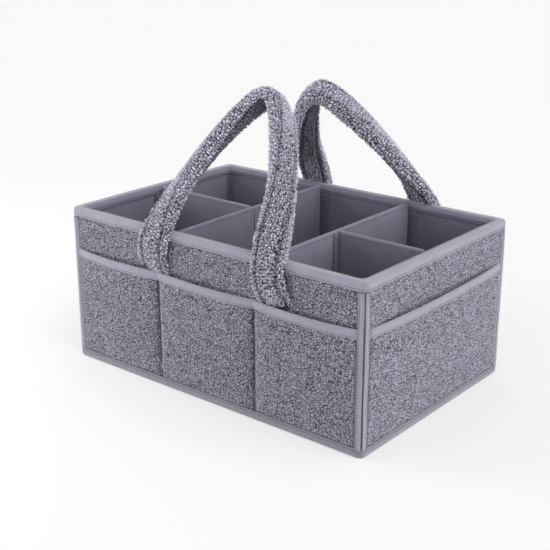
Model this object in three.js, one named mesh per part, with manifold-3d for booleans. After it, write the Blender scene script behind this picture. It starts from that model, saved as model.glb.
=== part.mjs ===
// Diaper caddy: an open fleece box on a padded base, with outside pockets, two padded carry handles
// and two T-shaped divider inserts. Millimetres, +Z up. The origin is the middle of the underside,
// +X runs along the length and -Y points to the front.

import * as THREE from 'three';
import Module from 'manifold-3d';

const wasm = await Module();
wasm.setup();

// Box, measured over the bindings
const LENGTH = 400;
const DEPTH = 265;
const WALL_HEIGHT = 170;
const CORNER_RADIUS = 6;
const CORNER_STEPS = 2;
const LEAST_RADIUS = 0.8;
const CLEARANCE = 0.3;

// Layers of a wall, from the outside in
const POCKET_CLOTH = 2.6;
const WALL_FLEECE = 3;
const WALL_BOARD = 2.5;
const LINING = 1;
const TAPE = 1.2;

// Layers of the base, from the floor up
const BASE_CLOTH = 1.2;
const BASE_BOARD = 4;
const BASE_BINDING_LIFT = 0.2;

// Bindings
const RIM_OUTSIDE = 11;
const RIM_INSIDE = 9.5;
const RIM_FOLD_RADIUS = 2.4;
const FOLD_STEPS = 3;
const EDGE_BINDING = 8.5;
const EDGE_BINDING_INSIDE = 4.5;
const EDGE_ROUND = 2.4;
const POCKET_BINDING = 10;
const POCKET_TAPE = 0.6;

// Pockets
const POCKET_HEIGHT = 124;
const POCKET_BULGE = 7;
const POCKET_FULLNESS_POWER = 0.6;
const LONG_WALL_POCKET_COUNT = 3;
const END_WALL_POCKET_COUNT = 1;
const BAY_STEPS = 8;
const END_BAY_STEPS = 12;
const POCKET_ROWS = 6;

// Handles: a flat padded strap that narrows from its sewn feet to a rounder grip
const FOOT_WIDTH = 41;
const STRAP_WIDTH = 36;
const STRAP_THICK = 13;
const GRIP_WIDTH = 28;
const GRIP_THICK = 16;
const SLIM_HASTE_FACTOR = 2;
const STRAP_CHANNEL = 1.8;
const STRAP_COVER = 3.2;
const STRAP_SIDES = 16;
const STRAP_SQUARENESS_POWER = 4;
const CHANNEL_NARROWNESS_POWER = 8;
const HANDLE_SHIFT = 15;
const ARCH_SPACING = 150;
const FOOT_SPLAY = 17;
const ARCH_SHOULDER = 2;
const ARCH_SHOULDER_HEIGHT = 75;
const ARCH_CROWN = 20;
const ARCH_SWAY = -7;
const ARCH_STEPS = 24;
const TWIST_DEGREES = 92;
const TWIST_HASTE_POWER = 1.3;
const FOOT_ROUND = 12;
const FOOT_ROUND_START = 4;
const FOOT_CHANNEL_SHARE = 0.2;
const FOOT_TIP = 6;
const FOOT_STEP = 3;
const PIVOT_CLEARANCE = 0.7;
const INWARD_PLAY_DEGREES = 7;
const BEND_ROOM = 5;
const FRONT_RISE = 177.5;
const FRONT_LEAN_DEGREES = 38.7;
const BACK_RISE = 166.5;
const BACK_LEAN_DEGREES = 36;

// Dividers: two cross panels, each with a half panel that turns on its face
const LEFT_DIVIDER_X = -45;
const RIGHT_DIVIDER_X = 80;
const LEFT_HALF_Y = -2;
const RIGHT_HALF_Y = -14;
const DIVIDER_BOARD = 2.4;
const DIVIDER_COVER = 1;
const DIVIDER_TOP_COVER = 1.5;
const DIVIDER_DROP = 0.8;
const DIVIDER_ROUND = 2.2;
const DIVIDER_CORNER = 0.8;
const DIVIDER_CORNER_STEPS = 1;
const HINGE_ROUND_STEPS = 4;
const HOOK_TAPE = 1;
const HOOK_WIDTH = 12;
const HOOK_MARGIN = 14;
const LOOP_TAPE = 0.8;
const LOOP_WIDTH = 20;
const HINGE_STRIP_WIDTH = 18;
const HINGE_CLEARANCE = 0.4;
const SWEEP_CLEARANCE = 1.2;

// Depths below the outside plane of a wall
const FLEECE_OUT = POCKET_CLOTH + CLEARANCE;
const FLEECE_IN = FLEECE_OUT + WALL_FLEECE;
const BOARD_OUT = FLEECE_IN + CLEARANCE;
const BOARD_IN = BOARD_OUT + WALL_BOARD;
const LINING_OUT = BOARD_IN + CLEARANCE;
const LINING_IN = LINING_OUT + LINING;
const FLANGE_OUT = LINING_IN + CLEARANCE;
const FLANGE_IN = FLANGE_OUT + TAPE;

// Heights
const BASE_BOARD_LOW = BASE_CLOTH + CLEARANCE;
const BASE_LINING_LOW = BASE_BOARD_LOW + BASE_BOARD + CLEARANCE;
const FLOOR = BASE_LINING_LOW + LINING;
const BASE_TOP = FLOOR + CLEARANCE + TAPE;
const WALL_LOW = BASE_TOP + CLEARANCE;
const WALL_TOP = WALL_LOW + WALL_HEIGHT;
const RIM_TOP = WALL_TOP + CLEARANCE + TAPE;
const RIM_LOW = RIM_TOP - RIM_OUTSIDE;
const MOUTH = WALL_LOW + POCKET_HEIGHT;
const HANDLE_FOOT = MOUTH + CLEARANCE;
const DIVIDER_LOW = FLOOR + CLEARANCE;
const DIVIDER_TOP = RIM_TOP - DIVIDER_DROP;
const HOOK_LOW = DIVIDER_LOW + HOOK_MARGIN;
const HOOK_TOP = RIM_TOP - RIM_INSIDE - CLEARANCE;
const HINGE_TOP = DIVIDER_TOP - DIVIDER_ROUND;

// Mitred panel edges at a corner of the box
const MITRE = CLEARANCE / Math.SQRT2;
const EDGE_WEB = TAPE * Math.SQRT2;

const DIVIDER_THICK = DIVIDER_BOARD + 2 * (DIVIDER_COVER + CLEARANCE);

function cloth(color, roughness) {
  return new THREE.MeshStandardMaterial({ color, roughness, metalness: 0 });
}

const caddy = new THREE.Group();

function addPiece(parent, name, geometry, material) {
  const mesh = new THREE.Mesh(geometry, material);
  mesh.name = name;
  parent.add(mesh);
  return mesh;
}

const fleeceMaterial = () => cloth(0x8b8b99, 1);
const tapeMaterial = () => cloth(0x9899a9, 0.85);
const liningMaterial = () => cloth(0x777888, 0.8);
const boardMaterial = () => cloth(0xb5b0a6, 0.9);
const foamMaterial = () => cloth(0xd9d7d2, 1);
const hookMaterial = () => cloth(0x5d5e6c, 0.95);

function mix(from, to, share) {
  return from + (to - from) * share;
}

function ease(share) {
  const held = Math.min(Math.max(share, 0), 1);
  return held * held * (3 - 2 * held);
}

function radians(degrees) {
  return (degrees * Math.PI) / 180;
}

// Closed geometry from points and triangles, turned so that its faces point out
function closedGeometry(points, triangles) {
  const positions = new Float32Array(points.flatMap((point) => [point.x, point.y, point.z]));
  let volume = 0;
  for (const [a, b, c] of triangles) {
    volume += points[a].dot(new THREE.Vector3().crossVectors(points[b], points[c]));
  }
  const facing = volume < 0 ? triangles.map(([a, b, c]) => [a, c, b]) : triangles;
  const geometry = new THREE.BufferGeometry();
  geometry.setAttribute('position', new THREE.BufferAttribute(positions, 3));
  geometry.setIndex(facing.flat());
  geometry.computeVertexNormals();
  return geometry;
}

// Triangles of the band between two rings that start at the given point numbers
function bandTriangles(first, second, count) {
  const triangles = [];
  for (let i = 0; i < count; i += 1) {
    const next = (i + 1) % count;
    triangles.push([first + i, first + next, second + next]);
    triangles.push([first + i, second + next, second + i]);
  }
  return triangles;
}

// Solid through a row of sections. Each section is an outline in its own plane and its place in space.
function loft(sections) {
  const count = sections[0].outline.length;
  const last = sections.length - 1;
  const points = sections.flatMap(({ outline, place }) => outline.map(place));
  const triangles = [];
  for (let row = 0; row < last; row += 1) {
    triangles.push(...bandTriangles(row * count, (row + 1) * count, count));
  }
  for (const [a, b, c] of THREE.ShapeUtils.triangulateShape(sections[0].outline, [])) {
    triangles.push([a, c, b]);
  }
  for (const face of THREE.ShapeUtils.triangulateShape(sections[last].outline, [])) {
    triangles.push(face.map((index) => last * count + index));
  }
  return closedGeometry(points, triangles);
}

// Tube open at both ends: outer and inner rings with the same number of points
function openTube(outer, inner) {
  const count = outer[0].length;
  const last = outer.length - 1;
  const offset = outer.length * count;
  const points = [...outer.flat(), ...inner.flat()];
  const triangles = [];
  for (let row = 0; row < last; row += 1) {
    triangles.push(...bandTriangles(row * count, (row + 1) * count, count));
    const bore = bandTriangles(offset + row * count, offset + (row + 1) * count, count);
    triangles.push(...bore.map(([a, b, c]) => [a, c, b]));
  }
  triangles.push(...bandTriangles(offset, 0, count));
  triangles.push(...bandTriangles(last * count, offset + last * count, count));
  return closedGeometry(points, triangles);
}

// Solid tube between its two end rings, which are convex
function filledTube(rings) {
  const count = rings[0].length;
  const last = rings.length - 1;
  const triangles = [];
  for (let row = 0; row < last; row += 1) {
    triangles.push(...bandTriangles(row * count, (row + 1) * count, count));
  }
  for (let i = 1; i < count - 1; i += 1) {
    triangles.push([0, i + 1, i]);
    triangles.push([last * count, last * count + i, last * count + i + 1]);
  }
  return closedGeometry(rings.flat(), triangles);
}

// Rounded rectangle, counter-clockwise
function roundedRectangle(halfX, halfY, radius) {
  const shape = new THREE.Shape();
  shape.absarc(halfX - radius, halfY - radius, radius, 0, Math.PI / 2);
  shape.absarc(-halfX + radius, halfY - radius, radius, Math.PI / 2, Math.PI);
  shape.absarc(-halfX + radius, -halfY + radius, radius, Math.PI, 1.5 * Math.PI);
  shape.absarc(halfX - radius, -halfY + radius, radius, 1.5 * Math.PI, 2 * Math.PI);
  return shape;
}

// Binding that runs round the box: its section is given as depth below the outside plane and height
function hoop(section) {
  const rings = section.map((corner) => {
    const radius = Math.max(CORNER_RADIUS - corner.x, LEAST_RADIUS);
    const halfX = LENGTH / 2 - corner.x;
    const halfY = DEPTH / 2 - corner.x;
    const loop = roundedRectangle(halfX, halfY, radius).getPoints(CORNER_STEPS);
    return loop.map((point) => new THREE.Vector3(point.x, point.y, corner.y));
  });
  const count = rings[0].length;
  const triangles = rings.flatMap((ring, row) =>
    bandTriangles(row * count, ((row + 1) % rings.length) * count, count));
  return closedGeometry(rings.flat(), triangles);
}

function prism(shape, low, high) {
  const steps = { depth: high - low, bevelEnabled: false, curveSegments: FOLD_STEPS };
  return new THREE.ExtrudeGeometry(shape, steps).translate(0, 0, low);
}

// Flat upright sheet on the front side of the box, between two depths below the outside plane
function wallSheet(halfWidth, low, high, out, depthFrom, depthTo) {
  const sheet = new THREE.BoxGeometry(2 * halfWidth, depthTo - depthFrom, high - low);
  return sheet.translate(0, -out + (depthFrom + depthTo) / 2, (low + high) / 2);
}

function toManifold(geometry) {
  const position = geometry.getAttribute('position');
  const vertProperties = new Float32Array(position.array);
  const triVerts = new Uint32Array(geometry.getIndex().array);
  return new wasm.Manifold(new wasm.Mesh({ numProp: 3, vertProperties, triVerts }));
}

function fromManifold(solid) {
  const { vertProperties, triVerts } = solid.getMesh();
  const geometry = new THREE.BufferGeometry();
  geometry.setAttribute('position', new THREE.BufferAttribute(new Float32Array(vertProperties), 3));
  geometry.setIndex(Array.from(triVerts));
  geometry.computeVertexNormals();
  return geometry;
}

// Base: cloth underneath, stiff board, lining on top, and a binding round the edge
function buildBase() {
  const inset = TAPE + CLEARANCE;
  const inside = (depth) => {
    const radius = Math.max(CORNER_RADIUS - depth, LEAST_RADIUS);
    return roundedRectangle(LENGTH / 2 - depth, DEPTH / 2 - depth, radius);
  };
  const underside = inside(LINING_IN + CLEARANCE);
  addPiece(caddy, 'base_cloth', prism(underside, 0, BASE_CLOTH), liningMaterial());
  const board = prism(inside(inset), BASE_BOARD_LOW, BASE_BOARD_LOW + BASE_BOARD);
  addPiece(caddy, 'base_board', board, boardMaterial());
  addPiece(caddy, 'base_lining', prism(inside(inset), BASE_LINING_LOW, FLOOR), liningMaterial());

  const section = [
    new THREE.Vector2(TAPE, BASE_BINDING_LIFT),
    new THREE.Vector2(LINING_IN, BASE_BINDING_LIFT),
    new THREE.Vector2(LINING_IN, BASE_CLOTH),
    new THREE.Vector2(TAPE, BASE_CLOTH),
    new THREE.Vector2(TAPE, BASE_TOP - TAPE),
    new THREE.Vector2(LINING_IN, BASE_TOP - TAPE),
    new THREE.Vector2(LINING_IN, BASE_TOP),
    new THREE.Vector2(TAPE, BASE_TOP),
    new THREE.Vector2(0, BASE_TOP - TAPE),
    new THREE.Vector2(0, BASE_BINDING_LIFT + TAPE),
  ];
  addPiece(caddy, 'base_binding', hoop(section), tapeMaterial());
}

// Rim: tape folded over the top edge of all four walls
function buildRim() {
  const shape = new THREE.Shape();
  shape.moveTo(0, RIM_LOW);
  shape.lineTo(POCKET_CLOTH, RIM_LOW);
  shape.lineTo(POCKET_CLOTH, WALL_TOP + CLEARANCE);
  shape.lineTo(FLANGE_OUT, WALL_TOP + CLEARANCE);
  shape.lineTo(FLANGE_OUT, RIM_TOP - RIM_INSIDE);
  shape.lineTo(FLANGE_IN, RIM_TOP - RIM_INSIDE);
  shape.lineTo(FLANGE_IN, RIM_TOP - TAPE);
  shape.quadraticCurveTo(FLANGE_IN, RIM_TOP, FLANGE_IN - TAPE, RIM_TOP);
  shape.lineTo(RIM_FOLD_RADIUS, RIM_TOP);
  shape.quadraticCurveTo(0, RIM_TOP, 0, RIM_TOP - RIM_FOLD_RADIUS);
  const section = shape.getPoints(FOLD_STEPS);
  addPiece(caddy, 'rim_binding', hoop(section), tapeMaterial());
}

// Binding on one upright edge of a wall panel: a folded tape with a mitred web.
// end is +1 for the edge at +X and -1 for the edge at -X of a wall on the front side.
function edgeBinding(span, out, end) {
  const shape = new THREE.Shape();
  const at = (edge, depth) => [end * (span / 2 - edge), -out + depth];
  const roundDepth = EDGE_ROUND - MITRE;
  const innerEdge = FLANGE_IN + EDGE_BINDING_INSIDE;
  shape.moveTo(...at(EDGE_BINDING, 0));
  shape.lineTo(...at(EDGE_ROUND, 0));
  shape.quadraticCurveTo(...at(MITRE, 0), ...at(EDGE_ROUND, roundDepth));
  shape.lineTo(...at(FLANGE_IN + MITRE, FLANGE_IN));
  shape.lineTo(...at(innerEdge, FLANGE_IN));
  shape.lineTo(...at(innerEdge, FLANGE_OUT));
  shape.lineTo(...at(FLANGE_OUT + MITRE + EDGE_WEB, FLANGE_OUT));
  shape.lineTo(...at(POCKET_CLOTH + MITRE + EDGE_WEB, POCKET_CLOTH));
  shape.lineTo(...at(EDGE_BINDING, POCKET_CLOTH));
  return prism(shape, WALL_LOW, RIM_LOW - CLEARANCE);
}

// How far a pocket stands out at a place along the wall and a share of its height
function pocketBulge(seams, along, share) {
  let bay = 1;
  while (bay < seams.length - 1 && along > seams[bay]) {
    bay += 1;
  }
  const across = (along - seams[bay - 1]) / (seams[bay] - seams[bay - 1]);
  const fullness = Math.max(Math.sin(Math.PI * across), 0) ** POCKET_FULLNESS_POWER;
  return POCKET_BULGE * fullness * Math.sin((Math.PI / 2) * share);
}

// Seams of a row of pockets: both edges of the panel and the stitch lines between pockets
function pocketSeams(span, pockets) {
  const edge = span / 2 - EDGE_BINDING - CLEARANCE;
  const seams = [-edge];
  for (let pocket = 1; pocket < pockets; pocket += 1) {
    seams.push(span * (pocket / pockets - 0.5));
  }
  return [...seams, edge];
}

function pocketStations(seams, steps) {
  const stations = [seams[0]];
  for (let bay = 1; bay < seams.length; bay += 1) {
    for (let step = 1; step <= steps; step += 1) {
      stations.push(mix(seams[bay - 1], seams[bay], step / steps));
    }
  }
  return stations;
}

// Pocket panel and the tape on its mouth, lofted along the wall
function buildPocket(group, side, span, out, pockets, steps) {
  const seams = pocketSeams(span, pockets);
  const stations = pocketStations(seams, steps);
  const bindingLow = MOUTH - POCKET_BINDING;
  const panelTop = bindingLow - CLEARANCE;
  const slotOut = POCKET_TAPE;
  const slotIn = POCKET_CLOTH - POCKET_TAPE;
  const slotTop = MOUTH - TAPE;
  const tongueTop = slotTop - CLEARANCE;

  const section = (along, corners) => {
    const outline = corners.map(([depth, height]) => {
      const share = (height - WALL_LOW) / POCKET_HEIGHT;
      return new THREE.Vector2(depth - pocketBulge(seams, along, share), height);
    });
    return { outline, place: (point) => new THREE.Vector3(along, -out + point.x, point.y) };
  };

  const rows = [];
  for (let row = 0; row <= POCKET_ROWS; row += 1) {
    rows.push(mix(WALL_LOW, panelTop, row / POCKET_ROWS));
  }
  const panelCorners = [
    ...rows.map((height) => [POCKET_CLOTH, height]),
    [slotIn - CLEARANCE, panelTop],
    [slotIn - CLEARANCE, tongueTop],
    [slotOut + CLEARANCE, tongueTop],
    [slotOut + CLEARANCE, panelTop],
    ...rows.toReversed().map((height) => [0, height]),
  ];
  const bindingCorners = [
    [0, bindingLow],
    [slotOut, bindingLow],
    [slotOut, slotTop],
    [slotIn, slotTop],
    [slotIn, bindingLow],
    [POCKET_CLOTH, bindingLow],
    [POCKET_CLOTH, MOUTH - POCKET_TAPE],
    [slotIn, MOUTH],
    [slotOut, MOUTH],
    [0, MOUTH - POCKET_TAPE],
  ];
  const panel = loft(stations.map((along) => section(along, panelCorners)));
  const binding = loft(stations.map((along) => section(along, bindingCorners)));
  addPiece(group, `${side}_pocket_panel`, panel, fleeceMaterial());
  addPiece(group, `${side}_pocket_binding`, binding, tapeMaterial());
}

// Outline of a padded strap, with a sewn channel beside each edge on both faces
function strapOutline(width, thick, channel) {
  const outline = [];
  for (let side = 0; side < STRAP_SIDES; side += 1) {
    const angle = (2 * Math.PI * side) / STRAP_SIDES;
    const across = Math.cos(angle);
    const groove = channel * Math.abs(Math.sin(2 * angle)) ** CHANNEL_NARROWNESS_POWER;
    const swell = (1 - across ** STRAP_SQUARENESS_POWER) ** (1 / STRAP_SQUARENESS_POWER);
    const half = Math.max((thick / 2) * swell - groove, 0);
    outline.push(new THREE.Vector2((width / 2) * across, Math.sign(Math.sin(angle)) * half));
  }
  return outline;
}

// Sewn end of a handle: it lies on the wall fleece and passes over the rim binding
function strapFoot(out, end) {
  const sections = [];
  const seat = FLEECE_OUT - CLEARANCE;
  const levels = [
    [HANDLE_FOOT, seat],
    [HANDLE_FOOT + FOOT_ROUND_START, seat],
    [HANDLE_FOOT + FOOT_ROUND, seat],
    [RIM_LOW - FOOT_STEP, seat],
    [RIM_LOW - CLEARANCE, -CLEARANCE],
    [RIM_TOP, -CLEARANCE],
  ];
  for (const [height, inner] of levels) {
    const round = Math.sqrt(1 - (1 - Math.min((height - HANDLE_FOOT) / FOOT_ROUND, 1)) ** 2);
    const outer = mix(seat - FOOT_TIP, -CLEARANCE - STRAP_THICK, round);
    const thick = inner - outer;
    const middle = (inner + outer) / 2;
    const rise = (height - HANDLE_FOOT) / (RIM_TOP - HANDLE_FOOT);
    const centre = (end * (ARCH_SPACING + FOOT_SPLAY * (1 - rise))) / 2;
    const width = mix(FOOT_WIDTH, STRAP_WIDTH, rise);
    const outline = strapOutline(width, thick, Math.min(STRAP_CHANNEL, thick * FOOT_CHANNEL_SHARE));
    const place = (point) => new THREE.Vector3(centre + point.x, -out + middle - point.y, height);
    sections.push({ outline, place });
  }
  return loft(sections);
}

// Rings along the free loop of a handle, in a frame whose X axis is the line that it swings about.
// sway is how far its crown leans along the wall, and outlineAt gives the outline of the strap at a
// share of the way from the rim to the crown.
function loopRings(rise, lean, sway, outlineAt) {
  const middle = PIVOT_CLEARANCE + STRAP_THICK / 2;
  const at = (along, up) => new THREE.Vector3(along + (sway * up) / rise, middle, up);
  const half = ARCH_SPACING / 2;
  const shoulder = half - ARCH_SHOULDER;
  const arch = new THREE.CurvePath();
  arch.add(new THREE.CubicBezierCurve3(
    at(-half, 0), at(-shoulder, ARCH_SHOULDER_HEIGHT), at(-ARCH_CROWN, rise), at(0, rise)));
  arch.add(new THREE.CubicBezierCurve3(
    at(0, rise), at(ARCH_CROWN, rise), at(shoulder, ARCH_SHOULDER_HEIGHT), at(half, 0)));

  // The loop's ends are cut so that they lie flat on the rim at the inward limit
  const slope = Math.tan(radians(lean + INWARD_PLAY_DEGREES));
  const endRing = (side) => outlineAt(0).map((point) => {
    const depth = middle - point.y;
    return new THREE.Vector3(side * half - side * point.x, depth, CLEARANCE + depth * slope);
  });
  const cutTop = (PIVOT_CLEARANCE + STRAP_THICK) * slope;
  const start = (cutTop + BEND_ROOM) / arch.getLength();

  const rings = [endRing(-1)];
  for (let step = 0; step <= ARCH_STEPS; step += 1) {
    const along = mix(start, 1 - start, step / ARCH_STEPS);
    const share = 1 - Math.abs(1 - 2 * along);
    const twist = radians(TWIST_DEGREES) * (1 - (1 - share) ** TWIST_HASTE_POWER);
    const centre = arch.getPointAt(along);
    const tangent = arch.getTangentAt(along);
    const outward = new THREE.Vector3(-tangent.z, 0, tangent.x);
    const face = new THREE.Vector3(0, -Math.cos(twist), 0).addScaledVector(outward, Math.sin(twist));
    const across = new THREE.Vector3().crossVectors(tangent, face);
    rings.push(outlineAt(share).map((point) =>
      centre.clone().addScaledVector(across, point.x).addScaledVector(face, point.y)));
  }
  rings.push(endRing(1));
  return rings;
}

function buildHandle(group, side, out, rise, lean, facing) {
  const swing = new THREE.Group();
  const pivotDepth = CLEARANCE + STRAP_THICK + PIVOT_CLEARANCE;
  swing.position.set(facing * HANDLE_SHIFT, -out - pivotDepth, RIM_TOP + CLEARANCE);
  swing.rotation.x = -radians(lean);
  group.add(swing);

  const strapAt = (inset, channel) => (share) => {
    const slim = ease(share * SLIM_HASTE_FACTOR);
    const width = mix(STRAP_WIDTH, GRIP_WIDTH, slim) - 2 * inset;
    const thick = mix(STRAP_THICK, GRIP_THICK, slim) - 2 * inset;
    return strapOutline(width, thick, channel);
  };
  const sway = facing * ARCH_SWAY;
  const outer = loopRings(rise, lean, sway, strapAt(0, STRAP_CHANNEL));
  const bore = loopRings(rise, lean, sway, strapAt(STRAP_COVER, 0));
  const core = loopRings(rise, lean, sway, strapAt(STRAP_COVER + CLEARANCE, 0));
  addPiece(swing, `${side}_handle_cover`, openTube(outer, bore), fleeceMaterial());
  addPiece(swing, `${side}_handle_core`, filledTube(core), foamMaterial());

  for (const end of [-1, 1]) {
    const place = end * facing > 0 ? 'right' : 'left';
    const foot = strapFoot(out, end).translate(facing * HANDLE_SHIFT, 0, 0);
    addPiece(group, `${side}_handle_foot_${place}`, foot, fleeceMaterial());
  }
}

const SIDES = ['front', 'right', 'back', 'left'];

// One wall, built on the front side and turned to its place
function buildWall(index) {
  const side = SIDES[index];
  const long = index % 2 === 0;
  const span = long ? LENGTH : DEPTH;
  const out = (long ? DEPTH : LENGTH) / 2;
  const group = new THREE.Group();
  group.rotation.z = (index * Math.PI) / 2;
  caddy.add(group);

  const layer = (depthFrom, depthTo) => {
    const setback = depthTo + MITRE + EDGE_WEB + CLEARANCE;
    return wallSheet(span / 2 - setback, WALL_LOW, WALL_TOP, out, depthFrom, depthTo);
  };
  addPiece(group, `${side}_wall_fleece`, layer(FLEECE_OUT, FLEECE_IN), fleeceMaterial());
  addPiece(group, `${side}_wall_board`, layer(BOARD_OUT, BOARD_IN), boardMaterial());
  addPiece(group, `${side}_wall_lining`, layer(LINING_OUT, LINING_IN), liningMaterial());

  const before = SIDES[(index + 3) % 4];
  const after = SIDES[(index + 1) % 4];
  addPiece(group, `${side}_edge_binding_${before}`, edgeBinding(span, out, -1), tapeMaterial());
  addPiece(group, `${side}_edge_binding_${after}`, edgeBinding(span, out, 1), tapeMaterial());

  if (long) {
    const front = side === 'front';
    const rise = front ? FRONT_RISE : BACK_RISE;
    const lean = front ? FRONT_LEAN_DEGREES : BACK_LEAN_DEGREES;
    buildPocket(group, side, span, out, LONG_WALL_POCKET_COUNT, BAY_STEPS);
    buildHandle(group, side, out, rise, lean, front ? 1 : -1);
  } else {
    buildPocket(group, side, span, out, END_WALL_POCKET_COUNT, END_BAY_STEPS);
  }
}

// Cover of a divider: cloth folded over the top of its board, open underneath.
// planAt gives the plan outline at an inset from the cover's faces.
function dividerCover(planAt, slot) {
  const levels = [
    [0, DIVIDER_LOW],
    [0, DIVIDER_TOP - DIVIDER_ROUND],
    [DIVIDER_ROUND * (1 - Math.SQRT1_2), DIVIDER_TOP - DIVIDER_ROUND * (1 - Math.SQRT1_2)],
    [DIVIDER_ROUND, DIVIDER_TOP],
  ];
  const body = loft(levels.map(([inset, height]) => ({
    outline: planAt(inset),
    place: (point) => new THREE.Vector3(point.x, point.y, height),
  })));
  return fromManifold(toManifold(body).subtract(toManifold(slot)));
}

// Closed box between two corners, with its eight corners shared
function sharedBox(low, high) {
  const outline = [
    new THREE.Vector2(low.x, low.y),
    new THREE.Vector2(high.x, low.y),
    new THREE.Vector2(high.x, high.y),
    new THREE.Vector2(low.x, high.y),
  ];
  const level = (height) => ({ outline, place: (p) => new THREE.Vector3(p.x, p.y, height) });
  return loft([level(low.z), level(high.z)]);
}

function boxBetween(low, high) {
  return new THREE.BoxGeometry(high.x - low.x, high.y - low.y, high.z - low.z)
    .translate((low.x + high.x) / 2, (low.y + high.y) / 2, (low.z + high.z) / 2);
}

// Board of a divider and the slot that it fills in its cover, between two places along X
function dividerCore(from, to, grow) {
  const half = DIVIDER_BOARD / 2 + grow;
  const top = DIVIDER_TOP - DIVIDER_TOP_COVER - CLEARANCE + grow;
  const low = new THREE.Vector3(from - grow, -half, DIVIDER_LOW - 2 * grow);
  return [low, new THREE.Vector3(to + grow, half, top)];
}

// Cross panel with a hook tape at each end, which lies on the lining of a long wall
function buildDivider(side, x) {
  const hookOut = DEPTH / 2 - FLANGE_OUT;
  const halfLength = hookOut - HOOK_TAPE - CLEARANCE;
  const group = new THREE.Group();
  group.position.x = x;
  group.rotation.z = Math.PI / 2;
  caddy.add(group);

  const planAt = (inset) => {
    const half = DIVIDER_THICK / 2 - inset;
    const shape = roundedRectangle(halfLength - inset, half, Math.min(DIVIDER_CORNER, half / 2));
    return shape.getPoints(DIVIDER_CORNER_STEPS);
  };
  const boardEnd = halfLength - DIVIDER_COVER - CLEARANCE;
  const cover = dividerCover(planAt, sharedBox(...dividerCore(-boardEnd, boardEnd, CLEARANCE)));
  addPiece(group, `${side}_divider_cover`, cover, liningMaterial());
  const board = boxBetween(...dividerCore(-boardEnd, boardEnd, 0));
  addPiece(group, `${side}_divider_board`, board, boardMaterial());

  for (const [wall, end] of [['front', -1], ['back', 1]]) {
    const from = end * (hookOut - HOOK_TAPE / 2);
    const low = new THREE.Vector3(from - HOOK_TAPE / 2, -DIVIDER_THICK / 2 - HOOK_WIDTH, HOOK_LOW);
    const high = new THREE.Vector3(from + HOOK_TAPE / 2, DIVIDER_THICK / 2, HOOK_TOP);
    addPiece(group, `${side}_divider_hook_${wall}`, boxBetween(low, high), hookMaterial());
  }
}

// Half panel that turns on a cloth hinge sewn to the face of a cross panel.
// It is built towards +X from its hinge line, and turned for the left side.
function buildHalf(side, dividerX, y) {
  const towards = side === 'right' ? 1 : -1;
  const face = towards * dividerX + DIVIDER_THICK / 2 + CLEARANCE;
  const hinge = face + HOOK_TAPE + HINGE_CLEARANCE + DIVIDER_THICK / 2;
  const loopFace = LENGTH / 2 - FLANGE_OUT - LOOP_TAPE;
  const hookFace = loopFace - SWEEP_CLEARANCE;
  const length = hookFace - HOOK_TAPE - CLEARANCE - hinge;
  const turn = towards > 0 ? 0 : Math.PI;

  const fixed = new THREE.Group();
  fixed.position.set(0, y, 0);
  fixed.rotation.z = turn;
  caddy.add(fixed);
  const strip = boxBetween(
    new THREE.Vector3(face, -HINGE_STRIP_WIDTH / 2, HOOK_LOW),
    new THREE.Vector3(face + HOOK_TAPE, HINGE_STRIP_WIDTH / 2, HINGE_TOP));
  addPiece(fixed, `${side}_hinge_strip`, strip, liningMaterial());
  const loop = boxBetween(
    new THREE.Vector3(loopFace, -LOOP_WIDTH / 2, HOOK_LOW),
    new THREE.Vector3(loopFace + LOOP_TAPE, LOOP_WIDTH / 2, HOOK_TOP));
  addPiece(fixed, `${side}_loop_strip`, loop, hookMaterial());

  const swing = new THREE.Group();
  swing.position.set(towards * hinge, y, 0);
  swing.rotation.z = turn;
  caddy.add(swing);
  const planAt = (inset) => {
    const half = DIVIDER_THICK / 2 - inset;
    const shape = new THREE.Shape();
    shape.absarc(0, 0, half, Math.PI / 2, 1.5 * Math.PI);
    shape.lineTo(length - inset, -half);
    shape.lineTo(length - inset, half);
    return shape.getPoints(HINGE_ROUND_STEPS);
  };
  const boardEnd = length - DIVIDER_COVER - CLEARANCE;
  const cover = dividerCover(planAt, sharedBox(...dividerCore(0, boardEnd, CLEARANCE)));
  addPiece(swing, `${side}_half_cover`, cover, liningMaterial());
  addPiece(swing, `${side}_half_board`, boxBetween(...dividerCore(0, boardEnd, 0)), boardMaterial());
  const hook = boxBetween(
    new THREE.Vector3(length + CLEARANCE, -DIVIDER_THICK / 2, HOOK_LOW),
    new THREE.Vector3(length + CLEARANCE + HOOK_TAPE, HOOK_WIDTH, HOOK_TOP));
  addPiece(swing, `${side}_half_hook`, hook, hookMaterial());
}

buildBase();
SIDES.forEach((_, index) => buildWall(index));
buildRim();
buildDivider('left', LEFT_DIVIDER_X);
buildDivider('right', RIGHT_DIVIDER_X);
buildHalf('left', LEFT_DIVIDER_X, LEFT_HALF_Y);
buildHalf('right', RIGHT_DIVIDER_X, RIGHT_HALF_Y);

export default caddy;
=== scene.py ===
import math

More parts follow.
